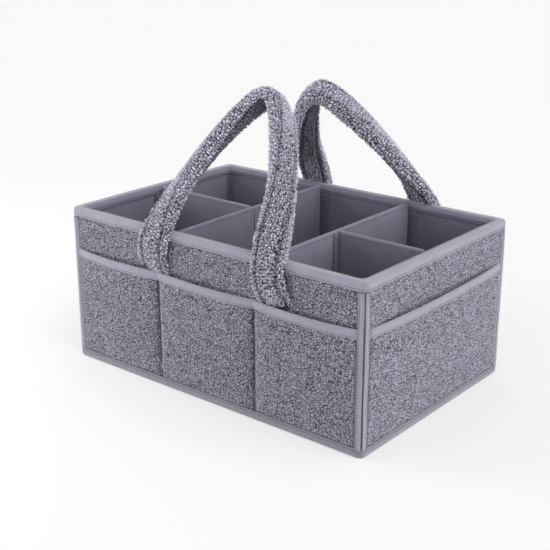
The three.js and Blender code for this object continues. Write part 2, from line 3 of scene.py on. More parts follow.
import bpy
import numpy as np
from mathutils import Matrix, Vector


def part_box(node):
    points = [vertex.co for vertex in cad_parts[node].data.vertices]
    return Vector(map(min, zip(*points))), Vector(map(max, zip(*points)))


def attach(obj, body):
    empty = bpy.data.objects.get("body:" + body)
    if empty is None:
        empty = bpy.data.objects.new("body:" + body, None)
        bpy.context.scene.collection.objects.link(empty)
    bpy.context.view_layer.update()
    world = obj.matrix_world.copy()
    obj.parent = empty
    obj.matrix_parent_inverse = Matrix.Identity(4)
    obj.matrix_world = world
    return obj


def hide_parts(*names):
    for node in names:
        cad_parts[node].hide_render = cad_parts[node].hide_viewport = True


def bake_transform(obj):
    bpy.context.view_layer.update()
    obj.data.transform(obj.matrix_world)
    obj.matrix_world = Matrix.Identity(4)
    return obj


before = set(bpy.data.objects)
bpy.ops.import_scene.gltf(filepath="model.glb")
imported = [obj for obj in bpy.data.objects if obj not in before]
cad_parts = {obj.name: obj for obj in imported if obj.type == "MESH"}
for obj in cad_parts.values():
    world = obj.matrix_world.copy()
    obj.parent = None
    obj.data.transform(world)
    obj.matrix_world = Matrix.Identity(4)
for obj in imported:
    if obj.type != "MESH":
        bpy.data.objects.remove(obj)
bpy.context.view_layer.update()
SCENE = bpy.context.scene

# Sizes are in millimetres until a mesh is made, and come from the frame where it has them.
METRES = 0.001


def node_box(node):
    low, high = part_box(node)
    return np.array(low) / METRES, np.array(high) / METRES


LENGTH, DEPTH = np.ptp(node_box("rim_binding"), axis=0)[:2]


def depths(node):
    """Least and greatest depth of a node below the outside plane of the front wall."""
    low, high = node_box(node)
    return low[1] + DEPTH / 2, high[1] + DEPTH / 2


def heights(node):
    low, high = node_box(node)
    return low[2], high[2]


FLEECE_OUT, FLEECE_IN = depths("front_wall_fleece")
LINING_OUT, LINING_IN = depths("front_wall_lining")
POCKET_OUT, POCKET_CLOTH = depths("front_pocket_panel")
FLANGE_IN = depths("front_edge_binding_right")[1]
BASE_LOW, BASE_TOP = heights("base_binding")
WALL_LOW, WALL_TOP = heights("front_wall_fleece")
EDGE_LOW, EDGE_TOP = heights("front_edge_binding_right")
RIM_LOW, RIM_TOP = heights("rim_binding")
MOUTH_LOW, MOUTH = heights("front_pocket_binding")
FOOT_LOW = heights("front_handle_foot_right")[0]
POCKET_GAP = LENGTH / 2 - node_box("front_pocket_panel")[1][0]

# Box and tapes
SIDES = ("front", "right", "back", "left")
CLEARANCE = 0.3
CORNER_RADIUS = 6.0
CORNER_STEPS = 5
CORNER_ZONE = 15.0
LEAST_RADIUS = 0.8
LOOP_STEPS = 60
TAPE = 1.2
RIM_CORNER = 6.0
RIM_INSIDE = 9.5
EDGE_TAPE = 8.5
EDGE_TAPE_INSIDE = 4.5
EDGE_MITRE = 0.25
LINING_TOP = WALL_TOP - 1.5
DIVIDER_ROUND = 2.3
DIVIDER_SEAM = 3.4

# Pockets
LONG_WALL_POCKETS = 3
POCKET_FULLNESS = 0.6
POCKET_TOP = MOUTH - 2.0
POCKET_FACE = 0.9
SEAM_DENT = 0.9

# Fleece: tight curls on the walls, longer ones on the handles
FINE = 0.85
CURL = 2.4
CURL_SHARE = 0.75
PILE_CONTRAST = 1.8
PILE_BASE = 0.5
WALL_PILE = 1.8
PILE_SWELL = 0.4
# painted shade on fleece where it is sewn down
SEWN_PAINTED_SHADE = 0.25
STRAP_FINE = 0.8
STRAP_POINTS = 128
STRAP_CURLS = 31
STRAP_CURL_SHARE = 0.85
STRAP_CONTRAST = 1.6
STRAP_PILE = 3.2
STRAP_SINK = 1.3
SEWN_PILE = 0.2
END_PILE = 0.15
GROOVE_PILE = 0.18
WORN_AND_SHADED_WIDTH = 0.6
WORN_PILE = 0.8
# painted shade on the strap's inner face
INSIDE_PAINTED_SHADE = 0.55
FOOT_PAINTED_SHADE = 0.86

# Stitching
STITCH_PITCH = 3.4
STITCH_LENGTH = 2.5
STITCH_DIP = 0.35
STITCH_LIFT = 0.1
THREAD = 0.55
THREAD_CORNERS = 5
BOLD_PITCH = 2.7
BOLD_THREAD = 0.85

# Handles: place and lean are close to the CAD solids', the padding is fuller, the twist slower
FOOT_WIDTH = 41.0
FOOT_STEPS = 14
FOOT_TUCK = 3.0
FOOT_STOP = 9.0
FOOT_SINK = 0.6
STRAP_WIDTH = 36.0
STRAP_THICK = 13.0
STRAP_FREE = 24.0
STRAP_SMOOTH = 10.0
STRAP_CLOSE = 5.0
STRAP_SHUT = 0.02
STRAP_SEWN = 46.0
STRAP_TWIST = 92.0
TWIST_HASTE = 1.05
GRIP_WIDTH = 26.5
GRIP_THICK = 16.0
LEG_PLUMP = 3.5
SLIM_HASTE = 2.0
GROOVE_OUTSIDE = 2.6
GROOVE_INSIDE = 3.0
GROOVE_WIDTH = 2.4
GROOVE_AT = 0.66
GROOVE_FADED = 0.8
ARCH_STEPS = 400
ARCH_SPACING = 150.0
ARCH_SHOULDER = 2.0
ARCH_SHOULDER_HEIGHT = 75.0
ARCH_CROWN = 20.0
ARCH_SWAY = -7.0
FOOT_SPACING = ARCH_SPACING + 17.0
PIVOT_CLEARANCE = 0.7
PIVOT_OUT = CLEARANCE + STRAP_THICK + PIVOT_CLEARANCE
BLEND_DEPTH = 7.0
BLEND_BELOW = 8.0
BLEND_ABOVE = 30.0
# Rise, lean in degrees, place along the wall and seed of each handle
HANDLES = {"front": (177.5, 38.7, 12.0, 301), "back": (166.5, 36.0, 18.0, 331)}

# Where the loop strips inside are sewn through the end walls, along each wall
STRIP_LINES = {
    "left": -np.mean(node_box("left_loop_strip"), axis=0)[1],
    "right": np.mean(node_box("right_loop_strip"), axis=0)[1],
}


# Numbers


def mix(low, high, share):
    return low + (high - low) * share


def ease(share):
    held = np.clip(share, 0.0, 1.0)
    return held * held * (3.0 - 2.0 * held)


def between(value, low, high):
    """A soft step from 0 at low to 1 at high."""
    return ease((value - low) / (high - low))


def spaced(low, high, step):
    return np.linspace(low, high, max(int(round((high - low) / step)), 1) + 1)


def unit(rows):
    return rows / np.linalg.norm(rows, axis=1)[:, None]


def square_to(along, rows):
    """Rows made square to the unit rows of along, and of length 1."""
    return unit(rows - along * np.einsum("ij,ij->i", rows, along)[:, None])


def travelled(points):
    """Distance along a line to each of its points."""
    return np.concatenate([[0.0], np.cumsum(np.linalg.norm(np.diff(points, axis=0), axis=1))])


def sampled(where, reach, data):
    """Rows of data at places along a line, where reach is the distance to each row."""
    return np.stack([np.interp(where, reach, column) for column in data.T], -1)


def scatter(i, j, seed):
    """A repeatable random number from 0 to 1 for each pair of whole numbers."""
    mixed = i.astype(np.int64) * 73856093 ^ j.astype(np.int64) * 19349663
    mixed = (mixed ^ (seed * 83492791 + 1442695)) * 1274126177
    mixed = (mixed ^ (mixed >> 15)) * 668265263
    mixed = mixed ^ (mixed >> 13)
    return (mixed & 0xFFFFFF) / float(0x1000000)


def ripple(u, v, wavelength, seed):
    """Gentle uneven waves from about -1 to 1."""
    waves, gain = 7, 1.8
    draw = np.random.default_rng(seed)
    total = np.zeros(np.broadcast(u, v).shape)
    for _ in range(waves):
        turn = draw.uniform(0.0, 2.0 * math.pi)
        length = wavelength * draw.uniform(0.7, 1.6)
        phase = draw.uniform(0.0, 2.0 * math.pi)
        run = u * math.cos(turn) + v * math.sin(turn)
        total += np.sin(run * 2.0 * math.pi / length + phase)
    return total / waves * gain


def grain(shape, seed):
    """A random height from 0 to 1 for each point of a grid."""
    return scatter(*np.indices(shape), seed)


def curls(u, v, pitch, seed, period=None):
    """Height of looped pile from 0 between the curls to 1 on top of them. period closes it in u."""
    margin, lengthen, narrow = 0.1, 0.65, 1.35
    crease_width, crease_power, dome_width = 0.4, 0.6, 0.8
    edge_height, least_tall, far = 0.35, 0.75, 9.0
    jitter = 1.0 - 2.0 * margin
    cell_u = np.floor(u / pitch).astype(np.int64)
    cell_v = np.floor(v / pitch).astype(np.int64)
    nearest = np.full(u.shape, far)
    second = np.full(u.shape, far)
    tall = np.zeros(u.shape)
    for step_u in (-1, 0, 1):
        for step_v in (-1, 0, 1):
            at_u = cell_u + step_u
            at_v = cell_v + step_v
            key = at_u if period is None else np.mod(at_u, period)
            off_u = (at_u + margin + jitter * scatter(key, at_v, seed)) * pitch - u
            off_v = (at_v + margin + jitter * scatter(key, at_v, seed + 1)) * pitch - v
            turn = scatter(key, at_v, seed + 3) * math.pi
            lengthwise = off_u * np.cos(turn) + off_v * np.sin(turn)
            sideways = off_v * np.cos(turn) - off_u * np.sin(turn)
            away = np.hypot(lengthen * lengthwise, narrow * sideways) / pitch
            closer = away < nearest
            second = np.where(closer, nearest, np.minimum(second, away))
            tall = np.where(closer, scatter(key, at_v, seed + 2), tall)
            nearest = np.where(closer, away, nearest)
    crease = np.clip((second - nearest) / crease_width, 0.0, 1.0) ** crease_power
    dome = 1.0 - np.clip(nearest / dome_width, 0.0, 1.0) ** 2
    return crease * mix(edge_height, 1.0, dome) * mix(least_tall, 1.0, tall)


# Meshes


def add_object(name, data):
    thing = bpy.data.objects.new(name, data)
    SCENE.collection.objects.link(thing)
    return thing


def add_mesh(name, points, faces, material, body="caddy"):
    mesh = bpy.data.meshes.new(name)
    mesh.from_pydata((np.asarray(points) * METRES).tolist(), [], faces)
    mesh.polygons.foreach_set("use_smooth", [True] * len(mesh.polygons))
    mesh.materials.append(material)
    mesh.validate()
    mesh.update()
    piece = add_object(name, mesh)
    if body:
        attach(piece, body)
    return piece


def grid_faces(rows, columns, start=0, close_rows=False, close_columns=False):
    """Four-sided faces of a grid of points that is numbered row by row."""
    at = start + np.arange(rows * columns).reshape(rows, columns)
    if close_rows:
        at = np.vstack([at, at[:1]])
    if close_columns:
        at = np.hstack([at, at[:, :1]])
    corners = [at[:-1, :-1], at[:-1, 1:], at[1:, 1:], at[1:, :-1]]
    return np.stack(corners, -1).reshape(-1, 4).tolist()


def closed_panel(name, front, back, material):
    """Closed piece between a fine front grid and a coarse back grid with as many columns."""
    rows, columns = front.shape[:2]
    back_rows = back.shape[0]
    start = rows * columns
    faces = grid_faces(rows, columns)
    faces += [face[::-1] for face in grid_faces(back_rows, columns, start)]
    front_at = np.arange(start).reshape(rows, columns).tolist()
    back_at = (start + np.arange(back_rows * columns)).reshape(back_rows, columns).tolist()
    low, low_back = front_at[0], back_at[0]
    top, top_back = front_at[-1], back_at[-1]
    for here in range(columns - 1):
        ahead = here + 1
        faces.append([low[ahead], low[here], low_back[here], low_back[ahead]])
        faces.append([top[here], top[ahead], top_back[ahead], top_back[here]])
    for column, step in ((0, 1), (-1, -1)):
        side = [row[column] for row in front_at] + [row[column] for row in back_at[::-1]]
        faces.append(side[::step])
    points = np.concatenate([front.reshape(-1, 3), back.reshape(-1, 3)])
    return face_out(add_mesh(name, points, faces, material))


def tube(name, rings, material, body="caddy", close=False):
    """Closed piece through rings of points: a hoop, or a bar with end faces."""
    rings = np.asarray(rings)
    count, around = rings.shape[:2]
    faces = grid_faces(count, around, close_rows=close, close_columns=True)
    if not close:
        faces.append(list(range(around))[::-1])
        faces.append(list(range((count - 1) * around, count * around)))
    return face_out(add_mesh(name, rings.reshape(-1, 3), faces, material, body))


def face_out(piece):
    """Turns a closed piece's faces outward."""
    mesh = piece.data
    mesh.calc_loop_triangles()
    corners = np.empty(len(mesh.loop_triangles) * 3, np.int32)
    mesh.loop_triangles.foreach_get("vertices", corners)
    places = np.empty(len(mesh.vertices) * 3)
    mesh.vertices.foreach_get("co", places)
    a, b, c = places.reshape(-1, 3)[corners.reshape(-1, 3)].transpose(1, 0, 2)
    if np.einsum("ij,ij->i", a, np.cross(b, c)).sum() < 0.0:
        mesh.flip_normals()
    return piece


def face_with(piece, material, chosen):
    """Gives the chosen faces of a tape a second material."""
    piece.data.materials.append(material)
    piece.data.polygons.foreach_set("material_index", np.asarray(chosen, np.int32))


def set_pile(piece, height):
    attribute = piece.data.attributes.new("pile", "FLOAT", "POINT")
    attribute.data.foreach_set("value", np.asarray(height, np.float32).ravel())


def turned(side, along, depth, height):
    """Points on a wall from places along it, depths below its outside plane and heights."""
    index = SIDES.index(side)
    out = (DEPTH if index % 2 == 0 else LENGTH) / 2
    along, depth, height = np.broadcast_arrays(along, depth, height)
    y = depth - out
    turn = ((1, 0), (0, 1), (-1, 0), (0, -1))[index]
    return np.stack([along * turn[0] - y * turn[1], along * turn[1] + y * turn[0], height], -1)


def outward_of(side):
    return turned(side, 0.0, -1.0, 0.0) - turned(side, 0.0, 0.0, 0.0)


def span_of(side):
    return LENGTH if SIDES.index(side) % 2 == 0 else DEPTH


def half_along(side, node):
    """Half of a node's length along its wall."""
    low, high = node_box(node)
    return (high - low)[SIDES.index(side) % 2] / 2


def upright_points(axis, along, across, height):
    """Points from places along an axis, 0 for X and 1 for Y, places across it and heights."""
    along, across, height = np.broadcast_arrays(along, across, height)
    return np.stack([*((across, along) if axis else (along, across)), height], -1)


def rounded_loop(depth, least=LEAST_RADIUS):
    """Points round the box at a depth below its outside plane, always as many of them."""
    radius = max(CORNER_RADIUS - depth, least)
    half_x = LENGTH / 2 - depth - radius
    half_y = DEPTH / 2 - depth - radius
    arcs = []
    for sign_x, sign_y, turn in ((1, 1, 0.0), (-1, 1, 0.5), (-1, -1, 1.0), (1, -1, 1.5)):
        angle = (turn + np.linspace(0.0, 0.5, CORNER_STEPS + 1)) * math.pi
        x = sign_x * half_x + radius * np.cos(angle)
        y = sign_y * half_y + radius * np.sin(angle)
        arcs.append(np.column_stack([x, y]))
    share = np.linspace(0.0, 1.0, LOOP_STEPS + 1)[1:-1, None]
    points = []
    for arc, following in zip(arcs, arcs[1:] + arcs[:1]):
        points += [arc, mix(arc[-1], following[0], share)]
    return np.concatenate(points)


def hoop(name, section, material, puff, seed, least=LEAST_RADIUS):
    """Tape round the box: section is a closed row of depths and heights."""
    rings = []
    for depth, height in section:
        loop = rounded_loop(depth, least)
        along = loop[:, 0] + 3.0 * height
        wave = puff * ripple(along, loop[:, 1], wavelength=60.0, seed=seed)
        rings.append(np.column_stack([loop, height + wave]))
    return tube(name, rings, material, close=True)


def profile(depth, height, *spots):
    """Spots of a tape's section, measured from a place."""
    return [(depth + across, height + up) for across, up in spots]


def bead(thread):
    """One stitch: its points as places along, across and up from its middle, and its faces."""
    half = STITCH_LENGTH / 2
    angle = 2.0 * math.pi * np.arange(THREAD_CORNERS) / THREAD_CORNERS
    across = thread / 2 * np.cos(angle)
    up = thread / 2 * np.sin(angle) + STITCH_LIFT
    points = [(-half, 0.0, -STITCH_DIP)]
    for along in (-half / 2, half / 2):
        points += [(along, *spot) for spot in zip(across, up)]
    points.append((half, 0.0, -STITCH_DIP))
    faces = []
    for corner in range(THREAD_CORNERS):
        near, near_next = 1 + corner, 1 + (corner + 1) % THREAD_CORNERS
        far, far_next = near + THREAD_CORNERS, near_next + THREAD_CORNERS
        faces.append([0, near, near_next])
        faces.append([near, far, far_next, near_next])
        faces.append([far, len(points) - 1, far_next])
    return np.array(points), faces


def stitches(name, path, outward, body="caddy", closed=False, bold=False):
    """Stitches along a path, short beads that dip into the cloth at their ends."""
    near = 0.4
    pitch, thread = (BOLD_PITCH, BOLD_THREAD) if bold else (STITCH_PITCH, THREAD)
    path = np.asarray(path, float)
    outward = np.broadcast_to(np.asarray(outward, float), path.shape)
    if closed:
        path = np.vstack([path, path[:1]])
        outward = np.vstack([outward, outward[:1]])
    reach = travelled(path)
    count = max(int(reach[-1] / pitch), 1)
    middle = (np.arange(count) + 0.5) * reach[-1] / count
    along = unit(sampled(middle + near, reach, path) - sampled(middle - near, reach, path))
    up = square_to(along, sampled(middle, reach, outward))
    axes = np.stack([along, np.cross(along, up), up], 1)
    spots, spot_faces = bead(thread)
    points = sampled(middle, reach, path)[:, None, :] + spots @ axes
    faces = [
        [index * len(spots) + spot for spot in face]
        for index in range(count)
        for face in spot_faces
    ]
    piece = add_mesh(name, points.reshape(-1, 3), faces, THREAD_MATERIAL, body)
    return face_out(piece)


# Materials


class Shader:
    """A Principled material and short ways to add nodes to it."""

    def __init__(self, name, roughness, sheen=0.0):
        self.material = bpy.data.materials.new(name)
        self.material.use_nodes = True
        self.nodes = self.material.node_tree.nodes
        self.links = self.material.node_tree.links
        self.surface = self.nodes["Principled BSDF"]
        sockets = {"Roughness": roughness, "Specular IOR Level": 0.25}
        if sheen:
            sockets.update({"Sheen Weight": sheen, "Sheen Roughness": 0.6})
        for socket, value in sockets.items():
            self.surface.inputs[socket].default_value = value
        self.place = self.add("TexCoord").outputs["Object"]

    def join(self, value, socket):
        if isinstance(value, (int, float, tuple)):
            socket.default_value = value
        else:
            self.links.new(value, socket)

    def add(self, kind, **inputs):
        """A new node, with the inputs that are named."""
        node = self.nodes.new(f"ShaderNode{kind}")
        for name, value in inputs.items():
            self.join(value, node.inputs[name.replace("_", " ")])
        return node

    def math(self, operation, first, second=0.0):
        node = self.add("Math")
        node.operation = operation
        self.join(first, node.inputs[0])
        self.join(second, node.inputs[1])
        return node.outputs[0]

    def noise(self, size, detail=2.0):
        """Noise from 0 to 1 with lumps about size millimetres across."""
        scale = 1.0 / (size * METRES)
        return self.add("TexNoise", Vector=self.place, Scale=scale, Detail=detail).outputs["Fac"]

    def pile(self):
        node = self.add("Attribute")
        node.attribute_name = "pile"
        return node.outputs["Fac"]

    def spread(self, value, low, high):
        """value from low to high stretched to 0 to 1."""
        return self.add("MapRange", Value=value, From_Min=low, From_Max=high).outputs["Result"]

    def blend(self, share, first, second):
        node = self.add("Mix", Factor=share)
        node.data_type = "RGBA"
        for value, socket in ((first, node.inputs[6]), (second, node.inputs[7])):
            self.join((*value, 1.0) if isinstance(value, tuple) else value, socket)
        return node.outputs[2]

    def axes(self):
        return self.add("SeparateXYZ", Vector=self.place).outputs

    def weave(self, pitch):
        """Crossed threads on any face of a box, from -1 to 1."""
        flat_share = 0.6
        rate = 2.0 * math.pi / (pitch * METRES)
        x, y, z = self.axes()

        def wave(value):
            return self.math("SINE", self.math("MULTIPLY", value, rate))

        warp = wave(self.math("ADD", x, y))
        upright = wave(z)
        flat = self.math("MULTIPLY", wave(self.math("SUBTRACT", x, y)), flat_share)
        return self.math("MULTIPLY", warp, self.math("ADD", upright, flat))

    def colour(self, value):
        self.join(value, self.surface.inputs["Base Color"])

    def bump(self, height, depth):
        """Relief of the given depth in millimetres, added over any before it."""
        node = self.add("Bump", Distance=depth * METRES, Height=height)
        normal = self.surface.inputs["Normal"]
        if normal.is_linked:
            self.links.new(normal.links[0].from_socket, node.inputs["Normal"])
        self.links.new(node.outputs["Normal"], normal)


def scaled(colour, share):
    return tuple(channel * share for channel in colour)


def woven(shader, base, pitch, darker):
    """Crossed threads and the colour of their cloth."""
    weave = shader.weave(pitch)
    return weave, shader.blend(shader.spread(weave, -1.0, 1.0), scaled(base, darker), base)


def fleece_material(name, shaded_hollow, tip, frizz_share):
    """Pile whose colour follows its height, with painted shade: dark at its roots and pale on its
    curls, with frizz and faint patches.
    """
    shader = Shader(name, roughness=0.95, sheen=0.15)
    frizz = shader.math("SUBTRACT", shader.noise(size=1.2), 0.5)
    frizz = shader.math("MULTIPLY", frizz, frizz_share)
    height = shader.math("ADD", shader.pile(), frizz)
    # painted shade: low pile takes the dark colour
    colour = shader.blend(shader.spread(height, 0.05, 0.95), shaded_hollow, tip)
    patches = shader.spread(shader.noise(size=35.0), 0.3, 0.7)
    dusty = shader.blend(0.06, colour, (0.1, 0.1, 0.12))
    shader.colour(shader.blend(patches, colour, dusty))
    shader.bump(shader.noise(size=0.9, detail=4.0), depth=0.7)
    return shader.material


def tape_material(name, base):
    shader = Shader(name, roughness=0.7, sheen=0.6)
    weave, colour = woven(shader, base, pitch=0.9, darker=0.8)
    faded = shader.spread(shader.noise(size=14.0, detail=3.0), 0.35, 0.75)
    shader.colour(shader.blend(faded, colour, scaled(base, 1.05)))
    shader.bump(weave, depth=0.12)
    shader.bump(shader.noise(size=5.0), depth=0.3)
    return shader.material


def lining_material(name, base):
    """Smooth cloth with painted shade that darkens it from the rim down."""
    painted_shade_full_below, painted_shade_share = 85.0, 0.55
    shader = Shader(name, roughness=0.62, sheen=0.35)
    weave, colour = woven(shader, base, pitch=0.7, darker=0.86)
    worn = shader.spread(shader.noise(size=40.0, detail=3.0), 0.3, 0.75)
    colour = shader.blend(worn, colour, scaled(base, 1.15))
    # painted shade: the cloth is blended towards black further down from the rim
    painted_deep_shade = shader.blend(painted_shade_share, colour, (0.0, 0.0, 0.0))
    up = shader.spread(shader.axes()[2], painted_shade_full_below * METRES, RIM_TOP * METRES)
    shader.colour(shader.blend(up, painted_deep_shade, colour))
    shader.bump(shader.noise(size=70.0, detail=1.0), depth=5.0)
    shader.bump(weave, depth=0.06)
    shader.bump(shader.noise(size=9.0), depth=0.5)
    return shader.material


def speckled_material(name, base, roughness, size, detail, darker, depth, low=0.0, high=1.0):
    """One noise for colour and relief, its colour spread from low to high."""
    shader = Shader(name, roughness)
    speckle = shader.noise(size, detail)
    shader.colour(shader.blend(shader.spread(speckle, low, high), scaled(base, darker), base))
    shader.bump(speckle, depth)
    return shader.material


FLEECE_MATERIAL = fleece_material(
    "wall_fleece", shaded_hollow=(0.026, 0.026, 0.037), tip=(0.575, 0.575, 0.705), frizz_share=0.7)
STRAP_MATERIAL = fleece_material(
    "strap_fleece", shaded_hollow=(0.012, 0.012, 0.02), tip=(0.83, 0.83, 1.0), frizz_share=0.35)
TAPE_MATERIAL = tape_material("binding_tape", (0.302, 0.304, 0.392))
# The binding tape at two thirds of its brightness: painted shade low on the box
SHADED_BASE_TAPE_MATERIAL = tape_material("base_tape", (0.2, 0.202, 0.26))
LINING_MATERIAL = lining_material("lining_cloth", (0.194, 0.194, 0.27))
# A darker copy of the lining cloth: painted shade for the edge tapes' notches and inner faces, the
# hinge strips and the hinge seams
SHADE_MATERIAL = lining_material("painted_shade_cloth", (0.13, 0.13, 0.178))
THREAD_MATERIAL = speckled_material(
    "sewing_thread", (0.13, 0.13, 0.17), roughness=0.6, size=0.5, detail=1.0, darker=0.75,
    depth=0.1)
HOOK_MATERIAL = speckled_material(
    "hook_tape", (0.14, 0.14, 0.18), roughness=0.9, size=0.8, detail=3.0, darker=0.7, depth=0.25,
    low=0.3, high=0.7)
BOARD_MATERIAL = speckled_material(
    "stiff_board", (0.42, 0.38, 0.33), roughness=0.9, size=2.5, detail=5.0, darker=0.7, depth=0.1)


# Fleece walls and pockets


def pressed(along, height, half, low, high, reach, low_reach=None):
    """0 on the edges of a panel, where it is sewn down, to 1 in the open."""
    edge = np.minimum(half - np.abs(along), high - height)
    return ease(edge / reach) * ease((height - low) / (low_reach or reach))


def stretched(values):
    """Values spread so that all but the rarest run from 0 to 1."""
    low, high = np.percentile(values, (4, 96))
    return np.clip((values - low) / (high - low), 0.0, 1.0)


def frizzy(curled, curl_share, contrast, seed):
    """Pile from its curls and a finer grain, spread from 0 to 1."""
    return stretched(mix(grain(curled.shape, seed + 5), curled, curl_share)) ** contrast


def wall_pile(along, height, seed):
    return frizzy(curls(along, height, CURL, seed), CURL_SHARE, PILE_CONTRAST, seed)


def pile_height(pile, swell, open_share):
    """How far the pile stands out of its cloth."""
    return open_share * (PILE_BASE + WALL_PILE * pile + PILE_SWELL * swell)


def pile_shade(pile, open_share):
    """Colour of the pile: as high as it stands, with painted shade where it is sewn down."""
    return mix(SEWN_PAINTED_SHADE, pile, open_share)


def wall_fleece(side):
    half = half_along(side, f"{side}_wall_fleece")
    shown = MOUTH - 18.0
    hidden = np.linspace(WALL_LOW, shown, 9)[:-1]
    levels = np.concatenate([hidden, spaced(shown, WALL_TOP, FINE)])
    along, height = np.meshgrid(spaced(-half, half, FINE), levels)
    seed = 11 + 7 * SIDES.index(side)
    pile = wall_pile(along, height, seed)
    swell = 0.5 * ripple(along, height, wavelength=70.0, seed=seed)
    open_share = pressed(along, height, half, WALL_LOW, RIM_LOW + 2.5, reach=3.0)
    if side in STRIP_LINES:
        open_share = open_share * mix(0.6, 1.0, ease(np.abs(along - STRIP_LINES[side]) / 2.0))
    raised = 1.2 * ease((height - MOUTH + 0.3) / 1.2)
    depth = FLEECE_OUT + 0.3 - raised - pile_height(pile, swell, open_share)
    front = turned(side, along, depth, height)
    back = turned(side, along[[0, -1]], FLEECE_IN, height[[0, -1]])
    piece = closed_panel(f"{side}_wall", front, back, FLEECE_MATERIAL)
    shade = pile_shade(pile, open_share)
    set_pile(piece, np.concatenate([shade.ravel(), np.zeros(2 * along.shape[1])]))
    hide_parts(f"{side}_wall_fleece")


def pocket_seams(side):
    """Places along a wall where its pocket panel is sewn down."""
    edge = span_of(side) / 2 - POCKET_GAP
    if span_of(side) < LENGTH:
        return np.array([-edge, edge])
    pockets = range(1, LONG_WALL_POCKETS)
    return np.array([-edge, *(LENGTH * (n / LONG_WALL_POCKETS - 0.5) for n in pockets), edge])


def pocket_bulge(seams, along, height):
    """How far a pocket stands out of the wall."""
    bay = np.clip(np.searchsorted(seams, along), 1, len(seams) - 1)
    across = (along - seams[bay - 1]) / (seams[bay] - seams[bay - 1])
    fullness = np.clip(np.sin(math.pi * across), 0.0, 1.0) ** POCKET_FULLNESS
    share = (height - WALL_LOW) / (MOUTH - WALL_LOW)
    return -POCKET_OUT * fullness * np.sin(math.pi / 2 * np.clip(share, 0.0, 1.0))


def seam_distance(seams, along):
    """Distance to the nearest seam between pockets, or a long way where there is none."""
    return np.abs(along[..., None] - seams[1:-1]).min(-1, initial=99.0)


def seam_painted_shading(seams, along):
    """Painted shade and painted light beside a seam between pockets: darker before it, paler after
    it.
    """
    dark, dark_width, pale, pale_width = 0.2, 7.0, 0.12, 8.0
    shade = np.zeros(along.shape)
    for seam in seams[1:-1]:
        past = along - seam
        before, after = np.exp(past / dark_width), np.exp(-past / pale_width)
        shade += np.where(past < 0.0, -dark * before, pale * after)
    return shade


def pocket(side):
    seams = pocket_seams(side)
    half = seams[-1]
    top = POCKET_TOP
    along, height = np.meshgrid(spaced(-half, half, FINE), spaced(WALL_LOW, top, FINE))
    seed = 101 + 7 * SIDES.index(side)
    pile = wall_pile(along, height, seed)
    swell = ripple(along, height, wavelength=60.0, seed=seed)
    tape_low = top - (MOUTH - MOUTH_LOW) + 4.0
    open_share = pressed(along, height, half, WALL_LOW + 1.6, tape_low,
                         reach=3.0, low_reach=1.2)
    away = seam_distance(seams, along)
    open_share = open_share * mix(0.2, 1.0, ease(away / 4.0))
    dent = SEAM_DENT * np.exp(-((away / 3.0) ** 2))
    bulge = pocket_bulge(seams, along, height)
    face = POCKET_FACE + dent - bulge - pile_height(pile, swell, open_share)
    back_along, back_height = np.meshgrid(along[0], np.linspace(WALL_LOW, top, 9))
    back_depth = POCKET_CLOTH - pocket_bulge(seams, back_along, back_height)
    front = turned(side, along, face, height)
    back = turned(side, back_along, back_depth, back_height)
    piece = closed_panel(f"{side}_pocket", front, back, FLEECE_MATERIAL)
    # painted shade and light beside the seams
    shade = pile_shade(pile, open_share) + seam_painted_shading(seams, along)
    set_pile(piece, np.concatenate([shade.ravel(), np.zeros(back_along.size)]))
    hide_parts(f"{side}_pocket_panel")
    tape = mouth_tape(side, seams)
    threads = [seam_thread(side, seams, number) for number in range(1, len(seams) - 1)]


def seam_thread(side, seams, number):
    height = spaced(WALL_LOW + 2.0, MOUTH_LOW - 1.0, 3.0)
    path = turned(side, seams[number], POCKET_FACE + SEAM_DENT, height)
    return stitches(f"{side}_pocket_seam_{number}", path, outward_of(side))


def mouth_tape(side, seams):
    """Folded tape on the mouth of a row of pockets, with its stitches."""
    low = MOUTH_LOW
    lip = ((0.5, 0.0), (-0.3, 0.4), (-0.7, 1.2), (-0.2, 1.9), (-0.2, 2.4), (-0.8, 3.2))
    fold = ((-0.6, -1.6), (0.2, -0.4), (1.3, 0.0), (2.3, -0.4), (3.0, -1.6))
    section = [
        *profile(0.0, low, *lip), (-0.9, mix(low, MOUTH, 0.6)), *profile(0.0, MOUTH, *fold),
        (3.1, mix(low, MOUTH, 0.5)), (2.9, low + 0.5), (2.2, low),
    ]
    depth, height = np.transpose(section)
    edge = seams[-1]
    along = spaced(-edge, edge, 1.5)[:, None]
    wave = 0.25 * ripple(along, height * 0.2, wavelength=45.0, seed=5)
    rings = turned(side, along, depth - pocket_bulge(seams, along, height) + wave, height)
    tape = tube(f"{side}_pocket_tape", rings, TAPE_MATERIAL)
    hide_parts(f"{side}_pocket_binding")
    along = spaced(-edge + 1.0, edge - 1.0, 3.0)
    path = turned(side, along, -0.3 - pocket_bulge(seams, along, low + 2.2), low + 2.15)
    return tape, stitches(f"{side}_pocket_stitches", path, outward_of(side))


# Tapes


